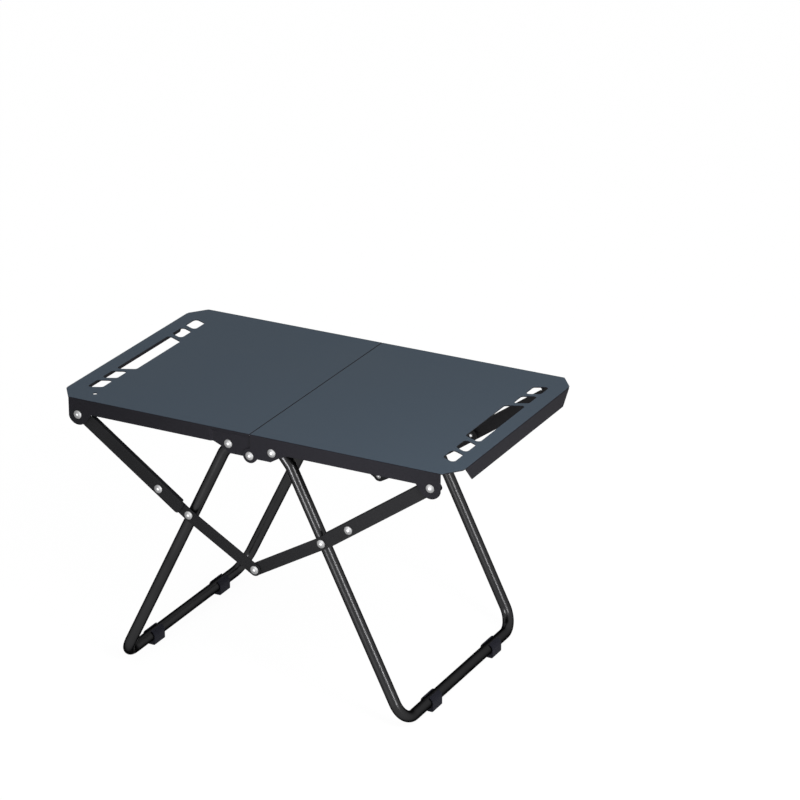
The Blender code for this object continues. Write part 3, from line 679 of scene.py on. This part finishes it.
print("panel blank:", np.ptp(panel_blank(), axis=0).round(4), "m, cut", len(panel_cuts(1)), "times")

# %% Make the panels
for word, side in SIDES.items():
    holes = slots() + flange_holes()
    if side < 0:
        holes.append(round_hole(CORNER_HOLE * (-1, 1), CORNER_HOLE_R))
    flat = blank(panel_blank(), holes, SHEET, PANEL_EDGE)
    mesh = sliced(f"panel_{word}", *flat, panel_cuts(side))
    moved(mesh, folded_panel(coordinates(mesh), side))
    body, node = f"top_{word}", f"top_panel_{word}"
    piece(f"folded_panel_{word}", mesh, body, [node], "top_sheet", TOP_COAT)
    print("panel", word, len(mesh.polygons), "faces")

# %% [markdown]
# ## The leg frames
#
# Each leg frame is one length of 16 mm tube, bent into a U with a slight crook below each pivot. A
# tube is a circle carried along a path. The path is straight runs joined by arcs, and the circle
# needs two directions at each point of it: one is square to the path and to the Y axis, and the
# other is square to both.

# %% The middle line of a leg frame
BEND_RADIUS, CROOK_RADIUS = 0.0300, 0.0250
CROOK_DROP, PAST_PIVOT = 0.0220, 0.0090


def leg_corners(side):
    """The middle line's corners: pivot end, crook, bottom corner, and back up the other side."""
    straight = unit(TUBE_CROSSING - BAR)
    crook = TUBE_CROSSING + straight * (LEG[1] - CROOK_DROP - CROSS[1]) / straight[1]
    end = LEG + unit(LEG - crook) * PAST_PIVOT
    half = np.array([(x * side, -TUBE_Y, z) for x, z in (end, crook, BAR)])
    return np.concatenate([half, half[::-1] * (1, -1, 1)])


def bent_path(corners, radii, step=2.5):
    """Straight runs joined by arcs. Unit vectors b and a point back and ahead from the corner, and
    h is half the angle between them. The arc's centre is corner + (a + b) * r / |a + b| / sin h,
    and it turns from the point where it touches b's run to where it touches a's."""
    made = [corners[:1]]
    for i, radius in zip(range(1, len(corners) - 1), radii):
        back, ahead = unit(corners[i - 1] - corners[i]), unit(corners[i + 1] - corners[i])
        half = math.acos(float(back @ ahead)) / 2
        centre = corners[i] + unit(back + ahead) * radius / math.sin(half)
        first = corners[i] + back * radius / math.tan(half) - centre
        other = unit(np.cross(np.cross(ahead, back), first)) * radius
        sweep = math.pi - 2 * half
        a = np.linspace(0, sweep, max(5, math.ceil(math.degrees(sweep) / step)))[:, None]
        made.append(centre + first * np.cos(a) + other * np.sin(a))
    return np.concatenate(made + [corners[-1:]])


def spread_out(path, spacing):
    """The path with points added on its long straight runs, none further apart than the spacing."""
    gaps = np.linalg.norm(np.diff(path, axis=0), axis=1)
    made = [path[:1]]
    for start, end, gap in zip(path[:-1], path[1:], gaps):
        share = np.linspace(0, 1, max(2, math.ceil(gap / spacing) + 1))[1:, None]
        made.append(start + (end - start) * share)
    return np.concatenate(made)


print("leg corners (x, z):", leg_corners(1)[:3, ::2].round(4).tolist())

# %% A circle carried along the path
RING_SPACING, TUBE_LIP = 0.02, 0.0003


def tube_rings(path, radius, sides=40):
    """Rings of points p + r (n cos a + m sin a): n is square to the path and Y, and m = t x n."""
    tangent = unit(np.gradient(path, axis=0))
    flat = unit(np.cross(path[len(path) // 2 - 1] - path[0], (0, 1.0, 0)))
    n = np.cross(tangent, (0, 1.0, 0))
    facing = np.sign(n @ flat)[:, None]
    weak = np.linalg.norm(n, axis=1)[:, None] < 0.05
    n = np.where(weak, flat, n * facing)
    n = unit(n - tangent * np.sum(n * tangent, axis=1)[:, None])
    m = np.cross(tangent, n)
    a = np.linspace(0, 2 * math.pi, sides, endpoint=False)[None, :, None]
    return path[:, None] + radius * (n[:, None] * np.cos(a) + m[:, None] * np.sin(a))


def open_tube(path, radius, wall):
    """A tube with a wall: the outer skin, the inner one, and a lip that joins them at each end."""
    outer, inner = tube_rings(path, radius), tube_rings(path, radius - wall)
    soft = tube_rings(path, radius - TUBE_LIP)
    return grid(np.concatenate([soft[:1], outer, soft[-1:], inner[::-1]]), True, True)


for word, side in SIDES.items():
    path = bent_path(leg_corners(side), (CROOK_RADIUS, BEND_RADIUS, BEND_RADIUS, CROOK_RADIUS))
    path = spread_out(path, RING_SPACING)
    mesh = mesh_of(f"leg_{word}", *open_tube(path, TUBE_R, TUBE_WALL))
    piece(f"bent_leg_{word}", mesh, f"leg_{word}", [f"leg_frame_{word}"], "leg_tube", TUBE_PAINT)
    length = float(np.sum(np.linalg.norm(np.diff(path, axis=0), axis=1)))
    print("leg", word, len(path), "rings,", round(length, 3), "m of tube")

# %% [markdown]
# ## Turned pieces: rivets, washers, spacers and plugs
#
# Anything round about a pivot is a profile spun about an axis along Y. A rivet head is a low dome
# with a soft rim. The profile lists radius and place along the axis, and each ring is a circle.

# %% Spinning a profile
def spun(profile, centre, ring=False, sides=48):
    """Points (cx + r cos a, y, cz + r sin a) for each (r, y) of the profile and each angle a. A
    washer's profile is a closed ring. Any other starts and ends on the axis, so that its poles are
    closed."""
    r, y = np.asarray(profile, float).T
    a = np.linspace(0, 2 * math.pi, sides, endpoint=False)
    x = centre[0] + r[:, None] * np.cos(a)
    z = centre[1] + r[:, None] * np.sin(a)
    return grid(np.stack([x, np.broadcast_to(y[:, None], x.shape), z], -1), ring, True)


def soft_corners(corners, radius, steps=4):
    """A closed profile with eased corners. Each is a short curve (1-q)^2 a + 2q(1-q) c + q^2 b."""
    corners = np.asarray(corners, float)
    made = []
    q = np.linspace(0, 1, steps)[:, None]
    for i, corner in enumerate(corners):
        before, after = corners[i - 1] - corner, corners[(i + 1) % len(corners)] - corner
        ease = min(radius, 0.45 * np.linalg.norm(before), 0.45 * np.linalg.norm(after))
        a, b = corner + unit(before) * ease, corner + unit(after) * ease
        made.append((1 - q) ** 2 * a + 2 * q * (1 - q) * corner + q ** 2 * b)
    return np.concatenate(made)


print("an eased triangle has", len(soft_corners([(0, 0), (1, 0), (1, 1)], 0.2)), "points")

# %% Profiles of the fasteners
HEAD_R, HEAD_H, SHANK_R = 0.0061, 0.0017, 0.0025
HEAD_RIM, HEAD_EASE, DOME_POWER = 0.18, (0.0002, 0.0001), 0.6
TAIL_R, TAIL_H, TAIL_FLAT = 0.0040, 0.0012, 0.0030
TAIL_RIM, CENTRE_TAIL_RIM = 0.00084, 0.0008
SPACER_R, SPACER_EASE = 0.0046, 0.0003


def rivet_tail(seat, rim):
    """A riveted tail's corners below its seat: a short upright rim, then a cone to a flat."""
    return [(SHANK_R, seat), (TAIL_R, seat), (TAIL_R, seat - rim), (TAIL_FLAT, seat - TAIL_H),
            (0.0, seat - TAIL_H)]


def rivet_profile(head_seat, shank_end=None, tail_seat=None):
    """A rivet from the top of its dome to the end of its shank or tail, as pairs of a radius and a
    distance from the middle. The dome's height is H (1 - (r / R)^2) ^ DOME_POWER above a short
    upright rim."""
    base = head_seat + GAP
    rim = HEAD_RIM * HEAD_H
    r = HEAD_R * np.sin(np.linspace(0, math.pi / 2, 14))
    dome = base + rim + (HEAD_H - rim) * (1 - (r / HEAD_R) ** 2) ** DOME_POWER
    ease_in, ease_up = HEAD_EASE
    profile = [*zip(r, dome), (HEAD_R, base + ease_up), (HEAD_R - ease_in, base), (SHANK_R, base)]
    if tail_seat is None:
        return profile + [(SHANK_R, shank_end), (0.0, shank_end)]
    return profile + rivet_tail(tail_seat - GAP, TAIL_RIM)


def fastener(name, profile, pivot, side, end, body, slot, material, ring=False):
    """A spun piece on one pivot. Its profile is given at the rear and mirrored to the front."""
    centre = (pivot[0] * side, pivot[1])
    placed = [(r, y * end) for r, y in profile]
    mesh = mesh_of(name, *spun(placed, centre, ring))
    if material == STEEL:
        away = np.hypot(*(coordinates(mesh)[:, ::2] - centre).T)
        share = mesh.attributes.new("radius_share", "FLOAT", "POINT")
        share.data.foreach_set("value", np.ascontiguousarray(away / HEAD_R, np.float32))
    piece(f"smooth_{name}", mesh, body, [name], slot, material, 35)


def washer_profile(low, high):
    """A flat ring with eased corners."""
    hole = SHANK_R + GAP
    corners = [(hole, low), (SPACER_R, low), (SPACER_R, high), (hole, high)]
    return soft_corners(corners, SPACER_EASE)


print("rivet head:", 2 * HEAD_R, "m wide, profile of", len(rivet_profile(0.0, -0.01)), "points")

# %% Make the fasteners
PLASTIC, PAINTED = ("plug_plastic", PLUG_PLASTIC), ("link_bar", BAR_PAINT)


def steel_rivet(name, profile, pivot, side, end, body):
    """A fastener of bright steel."""
    fastener(name, profile, pivot, side, end, body, "rivet_steel", STEEL)


for place, end in ENDS.items():
    hinge = rivet_profile(HALF_WIDTH, tail_seat=FLANGE_IN - GAP - SHEET)
    steel_rivet(f"hinge_rivet_{place}", hinge, HINGE, 1, end, "top_left")
    for word, side in SIDES.items():
        where = f"{word}_{place}"
        seat = HALF_WIDTH if side > 0 else FLANGE_IN - GAP
        lower = LOWER_IN[side]
        top, upper, link = f"top_{word}", f"upper_{where}", f"lower_{where}"
        rivets = (
            ("ear_rivet", rivet_profile(HALF_WIDTH, tail_seat=UPPER_IN), EAR, top),
            ("leg_rivet", rivet_profile(seat, tail_seat=TUBE_Y - TUBE_R), LEG, top),
            ("knee_rivet", rivet_profile(UPPER_IN + SHEET, lower), KNEE, upper),
            ("cross_rivet", rivet_profile(lower + SHEET, TUBE_FACE + GAP), CROSS, link),
        )
        for name, profile, pivot, body in rivets:
            steel_rivet(f"{name}_{where}", profile, pivot, side, end, body)
        rings = (
            ("ear_washer", UPPER_IN + SHEET + GAP, FLANGE_IN - GAP, EAR, top, *PLASTIC),
            ("leg_spacer", TUBE_FACE + GAP, seat - SHEET - GAP, LEG, top, *PAINTED),
            ("knee_spacer", lower + SHEET + GAP, UPPER_IN - GAP, KNEE, upper, *PAINTED),
            ("cross_washer", TUBE_FACE + GAP, lower - GAP, CROSS, link, *PLASTIC),
        )
        # Only the left lower link lies far enough out to need a washer at the crossing.
        for name, low, high, pivot, body, slot, look in rings[:4 if side < 0 else 3]:
            ring = washer_profile(low, high)
            fastener(f"{name}_{where}", ring, pivot, side, end, body, slot, look, True)
    centre = rivet_profile(LOWER_IN[-1] + SHEET, LOWER_IN[-1])
    steel_rivet(f"centre_rivet_{place}", centre, CENTRE, 1, end, f"lower_left_{place}")
    seat = LOWER_IN[1] - GAP
    shank = [(0.0, seat + GAP + SHEET), (SHANK_R, seat + GAP + SHEET)]
    tail = shank + rivet_tail(seat, CENTRE_TAIL_RIM)
    steel_rivet(f"centre_rivet_tail_{place}", tail, CENTRE, 1, end, f"lower_right_{place}")

# %% [markdown]
# ## The link bars
#
# The lower bars are flat strips with round ends and a slight bend where they cross the leg. The
# upper bars are folded: a flat web faces outward, and a narrow flange along the top stiffens it.
# When the table stands open, the lower bar's shoulder comes up under that flange, and that is what
# stops the knee from folding further.

# %% Lower bars
LOWER_HALF = 0.0088


def half_circle(pivot, way):
    """A half circle round a pivot. It starts in the given direction and turns anticlockwise."""
    start = math.degrees(math.atan2(way[1], way[0]))
    return arc(pivot, LOWER_HALF, start, start + 180)


def lower_outline():
    """Two half circles joined by edges parallel to the bar, and mitred at the crossing."""
    first, second = unit(CROSS - KNEE), unit(CENTRE - CROSS)
    side_a, side_b = np.array([-first[1], first[0]]), np.array([-second[1], second[0]])
    miter = unit(side_a + side_b) * LOWER_HALF
    knee_end, centre_end = half_circle(KNEE, side_a), half_circle(CENTRE, -side_b)
    return np.concatenate([knee_end, [CROSS - miter], centre_end, [CROSS + miter]])


def standing(points, side, end, face):
    """Puts a blank drawn in the side view into place: its skin faces outward at the given distance
    from the middle, and its depth runs inward."""
    u, v, w = points.T
    return np.column_stack([u * side, end * (face + w), v])


for where, side, end in QUARTERS:
    holes = [round_hole(pivot, RIVET_HOLE) for pivot in (KNEE, CROSS, CENTRE)]
    mesh = mesh_of(f"lower_{where}", *blank(lower_outline(), holes, SHEET, BAR_EDGE))
    moved(mesh, standing(coordinates(mesh), side, end, LOWER_IN[side] + SHEET))
    body, node = f"lower_{where}", f"lower_link_{where}"
    piece(f"flat_bar_{where}", mesh, body, [node], "link_bar", BAR_PAINT)
print("lower bars: 4, outline of", len(lower_outline()), "points")

# %% Upper bars
UPPER_ABOVE, UPPER_BELOW = 0.0106, 0.0090
UPPER_START, UPPER_END = -0.0140, KNEE_REACH + 0.0410
UPPER_ROUND = 0.0050
LIP_START, LIP_ROUND = 0.0150, 0.0030
LIP_REACH = UPPER_IN + SHEET - TUBE_FACE - GAP
LIP_NOTCH, LIP_SLOPE, LIP_TURN = 0.0006, 0.0016, 12.0
FOLD_MARGIN = 0.0005


def upper_outline():
    """The upper bar's blank, along u from the ear and up v: a web with round corners, and a lip
    that starts past the ear and ends before the round end. The lip's v runs on past the bend."""
    fold = UPPER_ABOVE - BEND
    r, notch = UPPER_ROUND, LIP_NOTCH
    start, end = UPPER_START + r, UPPER_END - r
    low, high = r - UPPER_BELOW, UPPER_ABOVE - r
    lip = fold + past_bend(LIP_REACH) - LIP_ROUND
    return np.concatenate([
        arc((start, low), r, 180, 270), arc((end, low), r, 270, 360),
        arc((end, high), r, 0, 90 - LIP_TURN),
        [(end + notch, fold), (end, fold + notch)],
        arc((end - LIP_ROUND, lip), LIP_ROUND, 0, 90),
        arc((LIP_START + LIP_ROUND, lip), LIP_ROUND, 90, 180),
        [(LIP_START, fold + notch), (LIP_START - notch, fold)],
        [(LIP_START - LIP_SLOPE, UPPER_ABOVE)], arc((start, high), r, 90, 180),
    ])


LIP_SPAN = (LIP_START - FOLD_MARGIN, UPPER_END - UPPER_ROUND + FOLD_MARGIN)


def folded_bar(points, side, end):
    """Folds the lip inward, then lays the bar along its line from the ear to the knee."""
    u, v, t = points[:, 0], points[:, 1], -points[:, 2]
    past = (v > UPPER_ABOVE - BEND) & (u > LIP_SPAN[0]) & (u < LIP_SPAN[1])
    out, down = bent(np.where(past, v - (UPPER_ABOVE - BEND), -1.0), t)
    new_v = np.where(past, UPPER_ABOVE - BEND + out, v)
    inward_by = np.where(past, down, t)
    up = np.array([TO_CROSS[1], -TO_CROSS[0]])
    up *= np.sign(up[1])
    flat = EAR + u[:, None] * TO_CROSS + new_v[:, None] * up
    return np.column_stack([flat[:, 0] * side, end * (UPPER_IN + SHEET - inward_by), flat[:, 1]])


for where, side, end in QUARTERS:
    holes = [round_hole((0.0, 0.0), RIVET_HOLE), round_hole((KNEE_REACH, 0.0), RIVET_HOLE)]
    cuts = [(1, UPPER_ABOVE - BEND + s) for s in BEND_CUTS] + [(0, u) for u in LIP_SPAN]
    mesh = sliced(f"upper_{where}", *blank(upper_outline(), holes, SHEET, BAR_EDGE), cuts)
    moved(mesh, folded_bar(coordinates(mesh), side, end))
    body, node = f"upper_{where}", f"upper_link_{where}"
    piece(f"folded_bar_{where}", mesh, body, [node], "link_bar", BAR_PAINT)
print("upper bars: 4, lip", round(LIP_REACH * 1000, 1), "mm deep")

# %% [markdown]
# ## Tube plugs
#
# A tube that ends behind an ear is closed by a small plastic plug with a domed cap. It is spun
# about Y like a rivet, then turned so that its axis follows the last stretch of the tube.

# %% Plugs
CAP_R, CAP_RIM, CAP_DOME = 0.0078, 0.0006, 0.0010
SPIGOT_LENGTH, SPIGOT_EASE = 0.0040, 0.0005


def plug_mesh(name, end_point, way):
    """A cap with a spigot. The spun axis Y is turned onto the tube: p' = end + M p, where M's
    columns are two directions square to the tube's and the tube's own direction in the middle."""
    spigot = TUBE_R - TUBE_WALL - GAP
    r = CAP_R * np.sin(np.linspace(math.pi / 2, 0, 9))
    dome = GAP + CAP_RIM + CAP_DOME * (1 - (r / CAP_R) ** 2) ** DOME_POWER
    low = -SPIGOT_LENGTH
    profile = [(0.0, low), (spigot - SPIGOT_EASE, low), (spigot, low + SPIGOT_EASE), (spigot, GAP)]
    points, faces = spun([*profile, (CAP_R, GAP), *zip(r, dome)], (0.0, 0.0), sides=40)
    across = unit(np.cross(way, (0, 1.0, 0)))
    axes = np.column_stack([across, way, np.cross(across, way)])
    return mesh_of(name, end_point + points @ axes.T, faces)


for word, side in SIDES.items():
    corners = leg_corners(side)
    for place, tip, inner in (("front", *corners[:2]), ("rear", *corners[:-3:-1])):
        way = unit(tip - inner)
        name = f"tube_plug_{word}_{place}"
        piece(f"capped_{name}", plug_mesh(name, tip, way), f"leg_{word}", [name], *PLASTIC, 35)
print("plugs: 4")

# %% [markdown]
# ## The feet
#
# Each foot is a rubber clip pressed onto the bottom bar: a C-shaped section, open along its top,
# with straight cheeks and a flat sole. It is one more blank, drawn across the bar and as thick as
# the clip is long, so the same rounded rim that eases the sheet's edges also eases the rubber's
# ends.

# %% Feet
FOOT_Y = {"front": -0.0860, "rear": 0.0950}
FOOT_HALF = 0.0135
FOOT_WALL = 0.0015
FOOT_WRAP = 65.0
FOOT_CORNER = 0.0022
BORE = TUBE_R + GAP


def clip_section():
    """The clip's outline about the bar: an outer arc on each side, a sole with round corners, a lip
    whose half circle joins the outer arc to the bore, and the bore itself."""
    outer = BORE + FOOT_WALL
    turn, r = math.radians(FOOT_WRAP), FOOT_CORNER
    lip = np.array([math.cos(turn), math.sin(turn)]) * (BORE + FOOT_WALL / 2)
    half = [
        arc((outer - r, r - BAR_HEIGHT), r, -90, 0, 15), arc((0.0, 0.0), outer, 0, FOOT_WRAP),
        arc(lip, FOOT_WALL / 2, FOOT_WRAP, FOOT_WRAP + 180, 30),
    ]
    right = np.concatenate(half)
    left = right[::-1] * (-1, 1)
    bore = arc((0.0, 0.0), BORE, FOOT_WRAP, -180 - FOOT_WRAP)
    return np.concatenate([right, bore[1:-1], left])


for word, side in SIDES.items():
    for place, centre_y in FOOT_Y.items():
        name = f"foot_{word}_{place}"
        mesh = mesh_of(name, *blank(clip_section(), [], 2 * FOOT_HALF, FOOT_EDGE, 4))
        u, v, w = coordinates(mesh).T
        moved(mesh, np.column_stack([BAR[0] * side + u, centre_y - FOOT_HALF - w, BAR_HEIGHT + v]))
        piece(f"clip_{name}", mesh, f"leg_{word}", [name], "foot_rubber", RUBBER, 35)
print("feet: 4")

# %% [markdown]
# ## The studio
#
# The background is plain white, and the light is soft and broad. The floor is a pale sheet. The
# camera stands to the right of the table's front, a little above it, with a long lens that hardly
# narrows the far side. Its place was found by matching the corners of the top, the rivets and the
# legs to the photograph.

# %% Camera
AZIMUTH, ELEVATION, ROLL = 27.465, 22.324, 0.0975
TARGET = np.array([0.12497, 0.0, 0.39551])
DISTANCE = 4.5806
FOCAL_PIXELS = 3444.4
IMAGE_WIDTH = 800
HALF_PIXEL = 0.5 / IMAGE_WIDTH


def photo_camera():
    """Forward is (-sin az cos el, cos az cos el, -sin el). Right and up are square to it."""
    az, el, roll = (math.radians(v) for v in (AZIMUTH, ELEVATION, ROLL))
    forward = np.array([-math.sin(az) * math.cos(el), math.cos(az) * math.cos(el), -math.sin(el)])
    right = np.array([math.cos(az), math.sin(az), 0.0])
    up = np.cross(right, forward)
    turned_right = math.cos(roll) * right + math.sin(roll) * up
    turned_up = -math.sin(roll) * right + math.cos(roll) * up
    place = TARGET - forward * DISTANCE
    lens = bpy.data.cameras.new("photo_camera")
    lens.sensor_width = 36.0
    lens.lens = FOCAL_PIXELS / IMAGE_WIDTH * lens.sensor_width
    lens.clip_end = 50.0
    lens.shift_x, lens.shift_y = -HALF_PIXEL, HALF_PIXEL
    made = object_of("photo_camera", lens)
    matrix = np.eye(4)
    matrix[:3] = np.column_stack([turned_right, turned_up, -forward, place])
    made.matrix_world = Matrix(matrix.tolist())
    return made


bpy.context.scene.camera = photo_camera()
print("camera at", [round(v, 3) for v in bpy.context.scene.camera.matrix_world.translation])

# %% Floor and sky
FLOOR_DROP, FLOOR_WHITE = 0.0004, (0.92, 0.92, 0.92, 1.0)
GLOW_SHARE, GLOW = 0.90, 1.06
SKY_LIGHT = 0.47


def seen_directly(nodes, links):
    """1 for rays from the camera, from mirrors and through glass, and 0 for all other light."""
    path = nodes.new("ShaderNodeLightPath")
    total = path.outputs["Is Camera Ray"]
    for name in ("Is Glossy Ray", "Is Transmission Ray"):
        total = combined(nodes, links, "MAXIMUM", total, path.outputs[name])
    return total


def pale_floor():
    """A wide square just under the soles, whose own white still shows some of the shadow."""
    u = np.linspace(-6.0, 6.0, 3)
    x, y = np.meshgrid(u, u, indexing="ij")
    mesh = mesh_of("floor", *grid(np.stack([x, y, np.full_like(x, -FLOOR_DROP)], -1)))
    floor = object_of("floor", mesh)
    made = bpy.data.materials.new("pale_floor")
    made.use_nodes = True
    nodes, links = made.node_tree.nodes, made.node_tree.links
    shader = nodes["Principled BSDF"]
    preset(shader, Base_Color=FLOOR_WHITE, Roughness=0.9, Specular_IOR_Level=0.0)
    glow = preset(nodes.new("ShaderNodeEmission"), Strength=GLOW)
    mix = nodes.new("ShaderNodeMixShader")
    share = combined(nodes, links, "MULTIPLY", seen_directly(nodes, links), GLOW_SHARE)
    links.new(share, mix.inputs["Fac"])
    links.new(shader.outputs["BSDF"], mix.inputs[1])
    links.new(glow.outputs["Emission"], mix.inputs[2])
    links.new(mix.outputs["Shader"], nodes["Material Output"].inputs["Surface"])
    floor.data.materials.append(made)
    return floor


def white_sky(level):
    """A world that lights at the given level, and looks white."""
    world = bpy.data.worlds.new("white_sky")
    world.use_nodes = True
    bpy.context.scene.world = world
    nodes, links = world.node_tree.nodes, world.node_tree.links
    sky = preset(nodes["Background"], Color=(1.0, 1.0, 1.0, 1.0))
    strength = ranged(nodes, links, seen_directly(nodes, links), level, 1.0, 0.0, 1.0)
    links.new(strength, sky.inputs["Strength"])


print("floor:", pale_floor().name)
white_sky(SKY_LIGHT)

# %% [markdown]
# Matte paint and gloss ask for different lamps. Paint wants a broad, even light, and gloss shows
# each lamp as a bright stripe. Blender can hide a lamp from either one. So three lamps light the
# paint: a key from the front right, a tall strip beside it, and a narrow spot at the height of the
# rivets for the front flange. Two more are seen only in the gloss, where they draw the long stripes
# on the tubes and light the rivets.

# %% Lamps
SPOT_ANGLE = math.radians(15.0)
MIDDLE = (0.0, 0.0, 0.2)


def lamp(name, place, aim, size, power, paint=False, gloss=False):
    """A lamp that faces the point it lights: a rectangular soft box, or a spot if its size is one
    number. It lights the paint or shows in the gloss."""
    if isinstance(size, float):
        light = bpy.data.lights.new(name, "SPOT")
        light.shadow_soft_size = size
        light.spot_size, light.spot_blend = SPOT_ANGLE, 1.0
    else:
        light = bpy.data.lights.new(name, "AREA")
        light.shape = "RECTANGLE"
        light.size, light.size_y = size
    light.energy = power
    made = object_of(name, light)
    way = Vector(aim) - Vector(place)
    made.location = place
    made.rotation_euler = way.to_track_quat("-Z", "Y").to_euler()
    made.visible_diffuse, made.visible_glossy = paint, gloss


lamp("key", (0.85, -0.65, 1.10), (0.2, 0.0, 0.39), (0.5, 0.5), 5.9, paint=True)
lamp("strip", (1.35, -0.75, 0.55), MIDDLE, (0.16, 1.2), 6.5, paint=True)
lamp("snoot", (0.9, -1.6, 0.33), (0.11, -0.18, 0.36), 0.04, 58.0, paint=True)
lamp("strip gloss", (1.36, -0.72, 0.55), MIDDLE, (0.14, 0.8), 15.0, gloss=True)
lamp("low gloss", (-0.12, -1.30, 0.22), MIDDLE, (0.13, 0.44), 13.0, gloss=True)
bpy.context.scene.view_settings.view_transform = "Standard"
